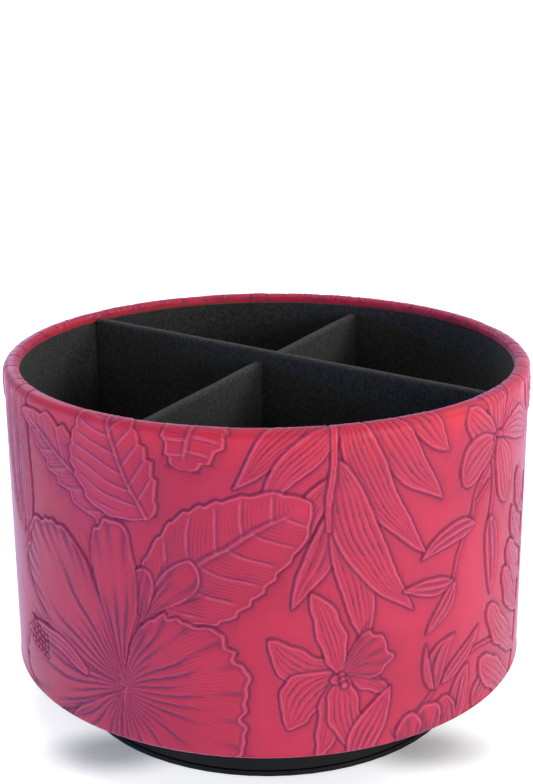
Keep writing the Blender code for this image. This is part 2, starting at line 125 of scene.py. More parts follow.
class Pressing:
    # maps of the wall: height in mm, dye and painted shade in the grooves, crests for their rubbed colour
    # and painted highlight, and the fine engraved lines

    def __init__(self, around, up, columns, step):
        self.around = around
        self.du = around / columns
        self.rows = int(up / step) + 1
        self.dv = up / (self.rows - 1)
        self.columns = columns
        shape = (columns, self.rows)
        self.height = np.zeros(shape)
        self.dye = np.zeros(shape)
        self.crest = np.zeros(shape)
        self.turn = np.zeros(shape)
        self.depth = np.zeros(shape)

    def window(self, box):
        spare = pressPlan["spare"]
        uLow, uHigh, vLow, vHigh = box
        first = math.floor((uLow - spare + self.around / 2) / self.du)
        last = math.ceil((uHigh + spare + self.around / 2) / self.du)
        low = max(0, math.floor((vLow - spare) / self.dv))
        high = min(self.rows, math.ceil((vHigh + spare) / self.dv) + 1)
        columns = np.arange(first, last)
        rows = np.arange(low, high)
        u, v = np.meshgrid(columns * self.du - self.around / 2, rows * self.dv, indexing="ij")
        return np.ix_(columns % self.columns, rows), u, v

    def steepness(self, field):
        alongU, alongV = np.gradient(field, self.du, self.dv)
        return np.maximum(np.hypot(alongU, alongV), 1e-4)

    def lineGap(self, phase):
        # signed distance in mm from the nearest line, where a line lies at each whole number
        return (phase - np.round(phase)) / self.steepness(phase)

    def press(self, box, shape, lift=0.0, softness=1.0):
        if box[3] < -2 or box[2] > self.rows * self.dv + 2:
            return
        cells, u, v = self.window(box)
        if len(cells[1][0]) < 3:
            return
        # a hand-cut die is never quite regular
        wavy = 2 * math.pi / self.around
        wobbleU = 0.45 * np.sin(23 * wavy * u + 0.19 * v) + 0.07 * np.sin(97 * wavy * u - 1.1 * v)
        wobbleV = 0.40 * np.sin(19 * wavy * u - 0.23 * v + 1) + 0.07 * np.sin(83 * wavy * u + 1.3 * v)
        made = shape(self, u + wobbleU, v + wobbleV)
        plan = pressPlan
        ridgeAt, ridgeWide, ridgeRise = plan["ridge"]
        shoulderAt, shoulderWide, shoulderDrop = plan["shoulder"]
        moatAt, moatWide, moatDepth = plan["moat"]
        field = made["field"]
        edge = field / np.maximum(self.steepness(field), 0.35)
        cover = smooth(edge / plan["outline"] + 0.5)
        out = np.maximum(-edge, 0)
        moat = bell(out - moatAt, moatWide)
        soft = np.exp(-out / plan["softReach"]) * softness
        ridge = bell(edge - ridgeAt, ridgeWide)
        shoulder = bell(edge - shoulderAt, shoulderWide)
        top = plan["motifRise"] + lift + ridgeRise * ridge - shoulderDrop * shoulder + made.get("rise", 0)
        low = self.height[cells] - moatDepth * moat - plan["softDrop"] * soft
        self.height[cells] = low * (1 - cover) + top * cover
        # partly dye, partly painted shade: darker in the pressed moat, in a soft halo round the outline and
        # just inside it
        outerDyeAndShade = np.maximum(self.dye[cells], np.maximum(0.95 * moat, 0.36 * soft))
        darkerInside = 0.26 * np.exp(-np.maximum(edge - 1, 0) / 1.2) * (edge > 1)
        innerDyeAndShade = np.maximum(made.get("dye", 0), darkerInside)
        self.dye[cells] = outerDyeAndShade * (1 - cover) + innerDyeAndShade * cover
        innerCrest = np.maximum(ridge, made.get("crest", 0))
        self.crest[cells] = self.crest[cells] * (1 - cover) * (1 - moat) + innerCrest * cover
        core = smooth((edge - 1.0) / 1.2)
        self.turn[cells] = np.where(cover > 0.5, made.get("turn", 0), self.turn[cells])
        depth = self.depth[cells] * (1 - smooth(cover + 1.5 * moat))
        self.depth[cells] = np.where(cover > 0.5, made.get("depth", 0) * core, depth)

    def leaf(self, base, tip, half, bend=0.0, swell=(0.6, 0.8), tooth=0.0, teeth=0, wave=0.0,
             waves=3, sideVeins=0, sweep=0.2, hatch=5, ribs=0, midrib=1.0, seed=1, lift=0.0):
        upper, lower = half if isinstance(half, tuple) else (half, half)
        measure = spine(base, tip, bend)
        rise, fall = swell
        peak = (rise / (rise + fall)) ** rise * (fall / (rise + fall)) ** fall
        shift = random.Random(seed).random() * 6

        def shape(grid, u, v):
            x, s, y, beyond = measure(u, v)
            body = s ** rise * (1 - s) ** fall / peak
            width = np.where(y > 0, upper, lower) * body
            side = np.abs(y)
            if teeth:
                saw = (s * teeth + 0.25 * np.sin(9 * s + shift)) % 1
                cut = np.where(saw < 0.78, saw / 0.78, (1 - saw) / 0.22)
                width = width + tooth * (cut - 0.6) * smooth(s / 0.12) * smooth((1 - s) / 0.06)
            if wave:
                swing = np.sin(2 * math.pi * waves * s + shift + np.where(y > 0, 0, 2))
                width = width + wave * swing * np.minimum(body, 1)
            across = side / np.maximum(width, 0.8)
            inner = smooth((1 - across) / 0.25)
            riseUp, dye, crest, turn, depth = (np.zeros_like(s) for _ in range(5))
            if sideVeins:
                climb = s - sweep * np.minimum(side / max(upper, lower), 1.3) ** 1.25
                phase = climb * sideVeins + np.where(y > 0, 0.35, 0.0)
                gap = grid.lineGap(phase)
                fade = smooth((s - 0.04) / 0.08) * smooth((0.97 - s) / 0.1) * inner
                wide, high = leafPlan["vein"]
                besideAt, besideWide, deep = leafPlan["besideVein"]
                riseUp += fade * (high * bell(gap, wide) - deep * bell(gap - besideAt, besideWide))
                dye = np.maximum(dye, fade * 0.5 * bell(gap - 0.8, 0.42))
                crest = np.maximum(crest, fade * bell(gap, 0.34))
                turn = phase * hatch
                depth = fade * (0.75 - 0.55 * bell(gap, 0.6)) * smooth(side / 2.0)
            if ribs:
                spread = y / np.maximum(width, 0.8)
                turn = spread * ribs / 2 + 0.5
                depth = smooth(s / 0.08) * smooth((0.98 - s) / 0.12) * inner
                riseUp -= leafPlan["ribDrop"] * depth * np.cos(2 * math.pi * turn)
                crest = np.maximum(crest, 0.5 * depth * smooth(-np.cos(2 * math.pi * turn)))
            if midrib:
                keep = smooth((0.97 - s) / 0.25) * midrib * smooth(x / 0.02)
                wide, high = leafPlan["midrib"]
                besideAt, besideWide, deep = leafPlan["besideMidrib"]
                riseUp += keep * (high * bell(y, wide) - deep * bell(side - besideAt, besideWide))
                dye = np.maximum(dye, keep * 0.8 * bell(side - 1.1, 0.42))
                crest = np.maximum(crest, keep * 0.75 * bell(y, 0.5))
                depth = depth * (1 - keep * bell(y, 1.2))
            riseUp += leafPlan["belly"] * (1 - across ** 2) * (across < 1)
            return {"field": inside(width, side, beyond), "rise": riseUp, "dye": dye, "crest": crest,
                    "turn": turn, "depth": depth}

        reach = max(upper, lower) + abs(bend) + tooth + wave
        self.press(boxRound(reach, base, tip), shape, lift)

    def petal(self, centre, axis, half, length, folds=10, pleats=6, ruffle=1.0, blunt=0.32,
              swirl=0.0, hem=True, seed=1, lift=0.0):
        plan = petalPlan
        count = plan["lines"]
        draw = random.Random(seed)
        foldLength = np.array([0.38 + 0.5 * draw.random() for _ in range(count)])
        pleatLength = np.array([0.5 + 0.8 * draw.random() for _ in range(count)])
        phases = [6.3 * draw.random() for _ in range(5)]
        axis = math.radians(axis)
        half = math.radians(half)

        def shape(grid, u, v):
            r = np.hypot(u - centre[0], v - centre[1])
            # the folds leave the throat steeply, as from a short upright slit, and spread further out
            level = (u - centre[0]) * (1 + swirl * length / (r + 1.5))
            angle = np.arctan2(v - centre[1], level) - axis
            phi = (angle + math.pi) % (2 * math.pi) - math.pi
            share = np.clip(phi / half, -1, 1)
            rim = length * np.cos(share * math.pi / 2) ** blunt
            if ruffle:
                arc = phi * length
                frill = (0.9 * np.sin(arc / 8.1 + phases[3]) + 0.8 * np.sin(arc / 3.1 + phases[0])
                         + 0.6 * np.sin(arc / 1.45 + phases[1] + np.sin(arc / 4))
                         + 0.3 * np.sin(arc / 0.83 + phases[2]))
                rim = rim + smooth((1 - np.abs(share)) / 0.12) * ruffle * frill
            field = rim - r
            edge = np.maximum(rim - r, 0)
            phase = (share + 1) * folds / 2 + 0.12 * np.sin(r / 6 + phases[4])
            gap = grid.lineGap(phase)
            own = foldLength[np.clip(np.round(phase).astype(int), 0, count - 1)]
            fade = 1 - smooth((r / length - own * 0.55) / (own * 0.5))
            fade = fade * smooth(r / 1.5) * np.where(np.abs(share) < 0.97, 1, 0)
            least, growth = plan["foldWide"]
            high, deep = plan["fold"]
            wide = np.minimum(least + growth * r, 0.26 / grid.steepness(phase))
            dye = fade * 0.92 * bell(gap, wide)
            riseUp = fade * (high * bell(gap - 1.6 * wide, wide) - deep * bell(gap, wide * 1.1))
            crest = fade * 0.55 * bell(gap - 1.5 * wide, 0.4)
            if pleats:
                phase = (share + 1) * pleats / 2 + 0.4
                gap = grid.lineGap(phase)
                own = pleatLength[np.clip(np.round(phase).astype(int) + count // 2, 0, count - 1)]
                fade = (1 - smooth(edge / (own * plan["pleatReach"]))) * smooth((edge - 1.2) / 1.2)
                most, shrink, least = plan["pleatWide"]
                high, deep = plan["pleat"]
                wide = np.maximum(most - shrink * edge, least)
                riseUp += fade * (high * bell(gap - 1.6, 0.8) - deep * bell(gap, wide))
                dye = np.maximum(dye, fade * 0.74 * bell(gap, wide))
            if hem:
                hemAt, hemWide, deep = plan["hem"]
                fold = bell(edge - hemAt, hemWide)
                riseUp += 0.05 * bell(edge - 1.0, 0.5) - deep * fold
                dye = np.maximum(dye, 0.6 * fold)
            depth = 0.5 * smooth((r - 0.24 * length) / (0.2 * length)) * smooth((0.97 - r / length) / 0.25)
            turn = (share + 1) * math.degrees(half) * length / plan["lineSpread"] + 0.4 * np.sin(r / 5)
            belly = plan["belly"]
            riseUp += belly * np.sin(np.clip(r / length, 0, 1) * math.pi) - belly * bell(r, 4)
            return {"field": field, "rise": riseUp, "dye": dye, "crest": crest,
                    "turn": turn, "depth": depth}

        self.press(boxRound(length + 3 * ruffle, centre), shape, lift)

    def stem(self, start, end, bend=0.0, thick=(0.9, 0.6)):
        measure = spine(start, end, bend)

        def shape(grid, u, v):
            x, s, y, beyond = measure(u, v)
            width = thick[0] * (1 - s) + thick[1] * s
            return {"field": inside(width, np.abs(y), beyond), "rise": -0.12 + 0.1 * bell(y, 0.6)}

        self.press(boxRound(abs(bend) + 2, start, end), shape, softness=0.7)

    def bead(self, centre, radius):
        def shape(grid, u, v):
            gap = np.hypot(u - centre[0], v - centre[1])
            dome = np.sqrt(np.clip(1 - (gap / radius) ** 2, 0, 1))
            return {"field": radius - gap, "rise": 0.22 * dome - 0.1, "crest": 0.7 * bell(gap, 0.4 * radius)}

        self.press(boxRound(radius, centre), shape, softness=0.6)


class Spot:
    # where a group of motifs is set: its own x and y become u and v

    def __init__(self, u, v, turn=0.0, size=1.0, flip=False):
        self.u = u
        self.v = v
        self.turn = math.radians(turn)
        self.size = size
        self.flip = flip

    def __call__(self, x, y):
        x = -x if self.flip else x
        return (self.u + self.size * (x * math.cos(self.turn) - y * math.sin(self.turn)),
                self.v + self.size * (x * math.sin(self.turn) + y * math.cos(self.turn)))

    def angle(self, degrees):
        own = 180 - degrees if self.flip else degrees
        return own + math.degrees(self.turn)

    def bend(self, amount):
        return (-amount if self.flip else amount) * self.size

    def sides(self, upper, lower):
        # a mirrored group swaps the two sides of its leaves
        first, second = (lower, upper) if self.flip else (upper, lower)
        return first * self.size, second * self.size


def setLeaves(press, at, rows, swell, seed, lift=0.0, **look):
    # a row gives a leaf's root x and y, its tip x and y, half-width, bend, and its ribs if they differ
    for number, (rootX, rootY, tipX, tipY, half, bend, *ribs) in enumerate(rows):
        if ribs:
            look["ribs"] = ribs[0]
        press.leaf(at(rootX, rootY), at(tipX, tipY), half * at.size, at.bend(bend), swell,
                   seed=seed + number, lift=lift * number, **look)


def ruffledFlower(press, at, seed):
    # five broad pleated petals round a deep throat, and a beaded column leaning out to the left
    centre = at(0, 0)
    size = at.size
    petals = (
        # axis, half-angle, length, folds, pleats, bluntness
        (186, 24, 59, 6, 5, 0.35),
        (93, 17, 60, 4, 5, 0.30),
        (136, 30, 65, 8, 13, 0.27),
        (240, 33, 40, 7, 6, 0.30),
        (352, 83, 44, 19, 13, 0.20),
    )
    for number, (axis, half, length, folds, pleats, blunt) in enumerate(petals):
        press.petal(centre, at.angle(axis), half, length * size, folds, pleats, 1.15 * size, blunt,
                    swirl=0.09, seed=seed * 10 + number, lift=0.02 * number)
    setLeaves(press, at, [(-15, 1.5, -47, 8, 3.0, -2.5)], (0.3, 0.25), seed, ribs=3, midrib=0.0)
    draw = random.Random(seed)
    for row in range(5):
        for side in range(4):
            x = -39 - 2.7 * row + 0.6 * draw.random()
            y = -2.0 + 2.5 * side + 0.8 * row + 0.6 * draw.random()
            press.bead(at(x, y), (0.9 + 0.3 * draw.random()) * size)


def leafTrio(press, at, seed):
    # two big toothed leaves that lean together, and a short one that hangs over the edge
    size = at.size
    press.leaf(at(-5, -4), at(-53, 25.5), at.sides(8.5, 12.5), at.bend(-2.5), (0.5, 0.8), 2.3 * size, 6,
               0.5 * size, 2, sideVeins=6, sweep=0.26, hatch=5, seed=seed)
    press.leaf(at(5.5, 0), at(-10, 45), at.sides(20, 10.5), at.bend(3), (0.45, 0.7), 1.3 * size, 8,
               0.5 * size, 2, sideVeins=8, sweep=0.34, hatch=5, seed=seed + 1)
    press.leaf(at(22, 43), at(17.5, 17.5), at.sides(11, 9), at.bend(1), (0.3, 0.42), 1.6 * size, 6,
               sideVeins=5, sweep=0.05, hatch=5, seed=seed + 2)


def broadLeaf(press, at, seed):
    # one wide leaf on a slant, with arching side veins, out of a few curled sepals
    size = at.size
    press.leaf(at(0, 0), at(51, 35), at.sides(16.5, 20), at.bend(2.5), (0.40, 0.68), 1.0 * size, 9,
               0.7 * size, 2, sideVeins=6, sweep=0.24, hatch=7, seed=seed, lift=0.03)
    press.petal(at(-4, -7), at.angle(47), 21, 27 * size, 5, 2, 0.5 * size, seed=seed * 7)
    press.petal(at(-5, -9), at.angle(86), 27, 19 * size, 5, 2, 0.6 * size, seed=seed * 7 + 1)


def palmFrond(press, at, seed):
    # long ribbed leaflets that spring from a short stem and hang down from the edge
    size = at.size
    leaflets = (
        (-1.0, 8.0, -34.0, -21.0, 6.0, -2.0, 7),
        (-2.0, -2.0, -27.0, -27.0, 5.0, -1.5, 6),
        (-3.5, -30.0, -17.0, -61.0, 4.4, 1.5, 3),
        (-2.0, -17.0, -23.5, -52.0, 4.6, -1.5, 6),
        (20.0, 8.0, 38.5, -15.5, 5.2, -1.0, 4),
        (9.0, 8.0, 35.5, -31.0, 6.6, -3.0, 6),
        (1.0, 6.0, 30.0, -48.5, 6.4, -5.0, 7),
        (-2.5, -32.0, 8.0, -75.5, 6.2, 1.5, 6),
        (-2.5, -12.0, 25.5, -67.0, 7.0, -5.5, 7),
    )
    setLeaves(press, at, leaflets, (0.62, 0.92), seed, 0.012, wave=0.15 * size, waves=2, midrib=0.35)
    press.stem(at(-0.5, 9), at(-4.5, -36), at.bend(-1.2), (1.3 * size, 0.8 * size))


def starFlower(press, at, seed):
    # six pointed petals, one of them broad and frilled, round a small raised throat
    size = at.size
    petals = (
        (-0.6, 0, -22.5, 13.5, 6.0, 3.5), (-0.6, 0, -17.0, -18.5, 7.6, -4.5),
        (-0.6, 0, -7.5, -30.0, 4.6, 1.5), (0.6, 0, 18.0, -10.0, 3.4, 1.5),
        (0.6, 0, 6.0, -29.0, 5.2, -1.5), (-0.6, 0, -9.0, 29.5, 5.0, -2.0),
    )
    setLeaves(press, at, petals, (0.7, 0.82), seed, wave=0.4 * size, waves=3, ribs=6, midrib=0.3)
    press.petal(at(0, 0.5), at.angle(22), 40, 19.5 * size, 8, 5, 1.3 * size, 0.25, hem=False,
                seed=seed + 30, lift=0.04)
    press.petal(at(0.5, -1), at.angle(205), 50, 4.0 * size, 3, 0, 0.3 * size, hem=False, seed=seed + 31)
    for step in range(3):
        press.bead(at(0.3 + 0.5 * step, -0.5 - 1.7 * step), 1.0 * size)


def twig(press, at, seed):
    # a hanging twig that forks, with slim pointed leaves at its ends
    size = at.size
    press.stem(at(0, 0), at(1.0, -29), at.bend(1.0), (0.75 * size, 0.55 * size))
    press.stem(at(-0.5, -16), at(-18, -45.5), at.bend(-4.0), (0.6 * size, 0.5 * size))
    press.stem(at(0, -8), at(-9.5, -29), at.bend(-3.0), (0.6 * size, 0.5 * size))
    leaves = (
        (-8.5, -28.0, -33.0, -35.0, 3.6, -1.8), (1.0, -28.0, 2.5, -57.5, 4.3, 1.0),
        (-18.0, -45.5, -39.5, -44.5, 2.9, 0.6), (-17.5, -46.0, -29.5, -62.0, 3.1, 0.8),
    )
    setLeaves(press, at, leaves, (0.72, 0.95), seed, ribs=2, midrib=0.9)


def lilyFlower(press, at, seed):
    # a smaller open flower with rounded petals, seen a little from above
    size = at.size
    petals = (
        # tip x, y, half-width, bend
        (7, 27, 6.0, 1.0), (16, 18, 5.0, -1.5), (-5, 25, 6.0, -1.0), (-18, 12, 5.6, 2.0),
        (29, -5, 5.4, 2.5), (8, -26, 6.2, 1.5), (-19, -12, 6.6, -3.0),
    )
    rows = [(0.03 * x, 0.03 * y, x, y, *rest) for x, y, *rest in petals]
    setLeaves(press, at, rows, (0.8, 0.55), seed, wave=0.25 * size, waves=2, ribs=5, midrib=0.2)
    for step in range(3):
        press.bead(at(-1.6 + 1.6 * step, 0.8 * (step % 2)), 1.1 * size)


def leafTuft(press, at, seed):
    # slim leaves that spring from one foot, over a long arching stem
    size = at.size
    press.stem(at(0, 0), at(38, 6), at.bend(4.5), (0.7 * size, 0.5 * size))
    press.stem(at(0, 0), at(-15, -10), at.bend(1.5), (0.7 * size, 0.5 * size))
    upright = ((0, 0, 9, 18, 4.2, 3.5), (3, 1, 22, 16, 3.0, -1.2))
    setLeaves(press, at, upright, (0.7, 1.0), seed + 1, ribs=2, midrib=0.8)
    setLeaves(press, at, [(9, -16, 16.5, 4, 4.8, 0.5)], (0.65, 0.9), seed + 3, ribs=4, midrib=0.9)
    setLeaves(press, at, [(20, -14, 33, -2, 3.6, 1.5)], (0.65, 0.9), seed + 4, ribs=3, midrib=0.6)
    setLeaves(press, at, [(-1, 0.5, -3.5, 17, 1.7, 1.5)], (0.7, 1.0), seed + 5, midrib=0.5)


def lowerScallops(press, at, seed):
    # a pointed leaf and rounded overlapping ones along the lower edge
    size = at.size
    setLeaves(press, at, [(-14, -16, 0, 12, 5.2, 1.5)], (0.65, 0.85), seed, ribs=5, midrib=0.5)
    scallops = ((26, -14, 118, 17), (16, -16, 100, 18), (5, -15, 80, 15))
    for number, (x, y, axis, length) in enumerate(scallops):
        press.petal(at(x, y), at.angle(axis), 38, length * size, 8, 3, 0.5 * size, hem=False,
                    seed=seed + number)


def bellStalk(press, at, seed):
    # slim frilled bells, each pointing up and out from a long curved stalk
    size = at.size
    press.stem(at(0, -38), at(10, 40), at.bend(-3.0), (1.1 * size, 0.6 * size))
    bend = 2.2
    bells = (
        (10, 24, -3, 45, 3.6, bend), (9.5, 12, -8, 33, 4.2, bend), (8, 0, -10, 21, 4.6, bend),
        (6, -12, -13, 12, 4.6, bend), (4, -26, -24, 2, 4.8, bend), (2, -38, -29, -16, 5.6, bend),
    )
    setLeaves(press, at, bells, (0.95, 0.6), seed, 0.015, tooth=0.5 * size, teeth=4, wave=0.3 * size,
              waves=3, ribs=5, midrib=0.2)


def strapLeaves(press, at, seed):
    # long narrow leaves with lines along them, which hang from the edge
    straps = ((-8, 46, -2, -8, 5.4, -3, 8), (-1, 46, 3, -11, 5.0, -2, 7), (7, 46, 9, -14, 5.0, -1, 7))
    setLeaves(press, at, straps, (0.35, 0.45), seed, midrib=0.2)


sprayPlan = {
    "from": 122,                    # u, where the motifs below leave the rim bare
    "to": 470,
    "foot": 96,                     # v
    "tip": 119,
    "seed": 3,
}


def rimSprays(press):
    # leaves that lean this way and that across the rim, so that the pattern runs over its top
    plan = sprayPlan
    draw = random.Random(plan["seed"])
    u = plan["from"]
    while u < plan["to"]:
        lean = draw.uniform(-13, 13)
        foot = plan["foot"] + draw.uniform(-4, 4)
        half = draw.uniform(4, 7)
        bend = draw.uniform(-2.5, 2.5)
        press.leaf((u, foot), (u + lean, plan["tip"]), half, bend, (0.6, 0.35), wave=0.3, waves=2,
                   ribs=draw.choice((4, 5, 6)), midrib=0.7, seed=plan["seed"] + int(u))
        u += draw.uniform(13, 22)


wallLayout = (
    # front, from left to right: group, its spot (u, v, turn, size, flip), its seed
    (strapLeaves, (-106, 70), 5),
    (leafTrio, (-44.5, 80), 3),
    (palmFrond, (23.5, 113.5), 11),
    (broadLeaf, (-37.5, 53.5), 7),
    (ruffledFlower, (-50, 18.5), 2),
    (starFlower, (22.5, 28.5), 21),
    (twig, (84, 98), 31),
    (lilyFlower, (88, 97), 4),
    (leafTuft, (58, 15), 41),
    (lowerScallops, (41, 9), 51),
    (bellStalk, (110, 34), 61),
    # round the back
    (leafTrio, (176, 79), 73),
    (ruffledFlower, (196, 19, 0, 1, True), 75),
    (palmFrond, (236, 113.5, 0, 0.95, True), 81),
    (leafTuft, (248, 26), 85),
    (starFlower, (264, 42, 40), 83),
    (twig, (288, 98), 87),
    (broadLeaf, (298, 44, 8, 0.9, True), 89),
    (leafTrio, (338, 82, 0, 1, True), 91),
    (lowerScallops, (296, 10), 77),
    (ruffledFlower, (352, 19, 0, 0.95), 93),
    (palmFrond, (402, 113.5, 0, 0.9), 97),
    (starFlower, (421, 32, -20), 101),
    (bellStalk, (424, 40, 0, 1, True), 99),
    (twig, (447, 100, 0, 0.8), 103),
    (leafTuft, (153, 12), 105),
    (lowerScallops, (396, 10, 0, 1, True), 95),
)


def pressWall(press):
    rimSprays(press)
    for group, spot, seed in wallLayout:
        group(press, Spot(*spot), seed)


class Value:
    # a socket in a finish: sums on it add their Math nodes

    def __init__(self, finish, socket):
        self.finish = finish
        self.socket = socket

    def sum(self, operation, first, second=0.0):
        return self.finish.add("ShaderNodeMath", {"operation": operation}, {0: first, 1: second})

    def __add__(self, other):
        return self.sum("ADD", self, other)

    def __radd__(self, other):
        return self.sum("ADD", other, self)

    def __sub__(self, other):
        return self.sum("SUBTRACT", self, other)

    def __rsub__(self, other):
        return self.sum("SUBTRACT", other, self)

    def __mul__(self, other):
        return self.sum("MULTIPLY", self, other)

    def __rmul__(self, other):
        return self.sum("MULTIPLY", other, self)

    def cosine(self):
        return self.sum("COSINE", self)

    def upTo(self, most):
        return self.sum("MINIMUM", self, most)


class Finish:
    # a procedural material: the shader's own values first, then what varies over the surface

    def __init__(self, name, values):
        self.material = bpy.data.materials.new(name)
        self.material.use_nodes = True
        self.tree = self.material.node_tree
        self.shader = self.tree.nodes["Principled BSDF"]
        for socket, value in values.items():
            self.shader.inputs[socket].default_value = value
        self.place = self.add("ShaderNodeTexCoord", output="Object")

    def add(self, kind, settings=None, inputs=None, output=0):
        node = self.tree.nodes.new(kind)
        for name, value in (settings or {}).items():
            setattr(node, name, value)
        for name, value in (inputs or {}).items():
            if isinstance(value, Value):
                self.tree.links.new(value.socket, node.inputs[name])
            else:
                node.inputs[name].default_value = value
        return Value(self, node.outputs[output])

    def feed(self, socket, value):
        self.tree.links.new(value.socket, self.shader.inputs[socket])

    def noise(self, scale, detail=3.0, roughness=0.55, at=None):
        return self.add("ShaderNodeTexNoise", {}, {
            "Vector": at or self.place, "Scale": scale, "Detail": detail, "Roughness": roughness})

    def stretched(self, scale):
        return self.add("ShaderNodeMapping", {}, {"Vector": self.place, "Scale": scale})

    def between(self, value, low, high, start=0.0, end=1.0):
        # start below low, end above high, and smooth between them
        return self.add("ShaderNodeMapRange", {"interpolation_type": "SMOOTHSTEP"}, {
            "Value": value, "From Min": low, "From Max": high, "To Min": start, "To Max": end})

    def blend(self, factor, first, second):
        return self.add("ShaderNodeMix", {"data_type": "RGBA"}, {0: factor, 6: first, 7: second}, 2)

    def attribute(self, name):
        return self.add("ShaderNodeAttribute", {"attribute_name": name}, {}, "Fac")

    def pits(self, scale):
        # distance from the middle of the nearest cell, for leather grain and moulded texture
        return self.add("ShaderNodeTexVoronoi", {"feature": "F1"}, {
            "Vector": self.place, "Scale": scale}, "Distance")

    def bump(self, height, strength, distance):
        return self.add("ShaderNodeBump", {}, {
            "Height": height, "Strength": strength, "Distance": distance})


leatherFinish = {
    "crimson": (0.455, 0.022, 0.062, 1),
    "crimsonDeep": (0.39, 0.017, 0.052, 1),
    "rimHighlightRed": (0.575, 0.020, 0.042, 1),
    "plum": (0.100, 0.016, 0.060, 1),
    # the crests' colour: partly rubbed, partly a painted highlight
    "rubbedAndHighlight": (0.62, 0.150, 0.300, 1),
    "grainSize": 2600,
    "rimFrom": 0.117,             # m above the floor, where the brighter red of the painted highlight along the edge begins
    "rimFull": 0.131,
    "rimShare": 0.75,
    "cutShare": 0.95,             # of the dye and painted shade in an engraved line
}


def makeLeather():
    look = leatherFinish
    finish = Finish("raspberry_leather", {
        "Roughness": 0.46, "IOR": 1.46, "Specular IOR Level": 0.25,
        "Sheen Weight": 0.75, "Sheen Roughness": 0.30, "Sheen Tint": (0.66, 0.62, 1.0, 1)})
    dye = finish.attribute("dye")
    crest = finish.attribute("crest")
    turn = finish.attribute("lineTurn")
    depth = finish.attribute("lineDepth")
    cloud = finish.noise(26, 3)
    speck = finish.noise(900, 2)
    handCut = finish.noise(420, 2)
    pressure = finish.noise(150, 2)

    # the fine engraved lines: a narrow dark cut at each whole turn, uneven as if cut by hand
    swing = ((turn + 0.22 * handCut) * (2 * math.pi)).cosine()
    cut = finish.between(swing, 0.35, 1.0) * depth * finish.between(handCut, 0.3, 0.62, 0.45, 1.0)
    cut = cut * finish.between(pressure, 0.36, 0.58, 0.35, 1.0)

    height = finish.add("ShaderNodeSeparateXYZ", {}, {0: finish.place}, "Z")
    # a painted highlight: brighter and redder towards the top edge, where it curves over
    towardsRimHighlight = finish.between(height, look["rimFrom"], look["rimFull"])
    ground = finish.blend(finish.between(cloud, 0.35, 0.65), look["crimsonDeep"], look["crimson"])
    ground = finish.blend(towardsRimHighlight * look["rimShare"], ground, look["rimHighlightRed"])
    # partly dye, partly painted shade: plum in the grooves and in the engraved lines
    dark = (dye * (0.82 + 0.3 * speck) + look["cutShare"] * cut).upTo(0.96)
    # crests lighter: partly rubbed, partly a painted highlight
    rubbedAndHighlight = finish.between(crest, 0.15, 1.0) * (0.16 + 0.34 * speck)
    colour = finish.blend(rubbedAndHighlight, ground, look["rubbedAndHighlight"])
    colour = finish.blend(dark, colour, look["plum"])
    finish.feed("Base Color", colour)

    finish.feed("Roughness", 0.44 + 0.10 * cloud + 0.16 * dye - 0.06 * crest)
    relief = 0.10 * finish.pits(look["grainSize"]) + 0.10 * finish.noise(1500, 3) - 1.0 * cut
    finish.feed("Normal", finish.bump(relief, 0.55, 0.00022))
    return finish.material


def makeFelt():
    nap = 0.5
    dark, pale = (0.0155, 0.0155, 0.0152, 1), (0.054, 0.054, 0.053, 1)
    finish = Finish("black_felt", {
        "Roughness": 0.95, "Specular IOR Level": 0.12,
        "Sheen Weight": 0.06, "Sheen Roughness": 0.5, "Sheen Tint": (1.0, 1.0, 1.0, 1)})
    fibre = finish.noise(2100, 4, 0.65)
    tuft = finish.noise(700, 3, 0.6)
    worn = finish.noise(32, 3)
    mottle = finish.between(0.6 * fibre + 0.4 * tuft, 0.36, 0.64)
    colour = finish.blend(mottle * (0.5 + 0.8 * worn), dark, pale)
    lint = finish.between(finish.noise(1300, 1), 0.74, 0.80)
    lint = lint * finish.between(finish.noise(240, 1), 0.55, 0.65)
    colour = finish.blend(0.55 * lint, colour, (0.10, 0.10, 0.105, 1))
    finish.feed("Base Color", colour)
    finish.feed("Roughness", 0.9 + 0.1 * fibre)
    finish.feed("Normal", finish.bump(0.6 * fibre + 0.5 * tuft, nap, 0.0004))
    return finish.material


mouldedLooks = {
    # its colour, the paler one mixed into it, roughness, and grains to a metre
    "black_plastic": ((0.0042, 0.0042, 0.0045, 1), (0.010, 0.010, 0.0105, 1), 0.46, 2400),
    "black_rubber": ((0.011, 0.011, 0.011, 1), (0.028, 0.027, 0.026, 1), 0.72, 1500),
}


def makeMoulded(name):
    colour, pale, roughness, grain = mouldedLooks[name]
    finish = Finish(name, {"Specular IOR Level": 0.12, "IOR": 1.49})
    cloud = finish.noise(45, 3)
    spark = finish.noise(grain, 2)
    pitted = finish.pits(grain * 0.8)
    finish.feed("Base Color", finish.blend(0.35 * cloud + 0.3 * spark, colour, pale))
    finish.feed("Roughness", roughness + 0.12 * cloud + 0.06 * spark)
    finish.feed("Normal", finish.bump(0.5 * pitted + 0.4 * spark, 0.35, 0.0001))
    return finish.material


def makeSteel():
    finish = Finish("zinc_steel", {"Metallic": 1.0, "Specular IOR Level": 0.5})
    spangle = finish.noise(600, 3)
    drawn = finish.noise(160, 4, 0.6, finish.stretched((1, 1, 9)))
    finish.feed("Base Color", finish.blend(spangle, (0.50, 0.51, 0.52, 1), (0.70, 0.70, 0.69, 1)))
    finish.feed("Roughness", 0.20 + 0.20 * drawn + 0.08 * spangle)
    finish.feed("Normal", finish.bump(drawn, 0.15, 0.0001))
    return finish.material


def makeNylon():
    finish = Finish("white_nylon", {
        "Subsurface Weight": 0.15, "Subsurface Scale": 0.002, "Subsurface Radius": (1.0, 0.9, 0.8)})
    cloud = finish.noise(120, 3)
    finish.feed("Base Color", finish.blend(cloud, (0.70, 0.68, 0.62, 1), (0.80, 0.79, 0.75, 1)))
    finish.feed("Roughness", 0.40 + 0.20 * cloud)
    finish.feed("Normal", finish.bump(finish.noise(1800, 2), 0.15, 0.0001))
    return finish.material


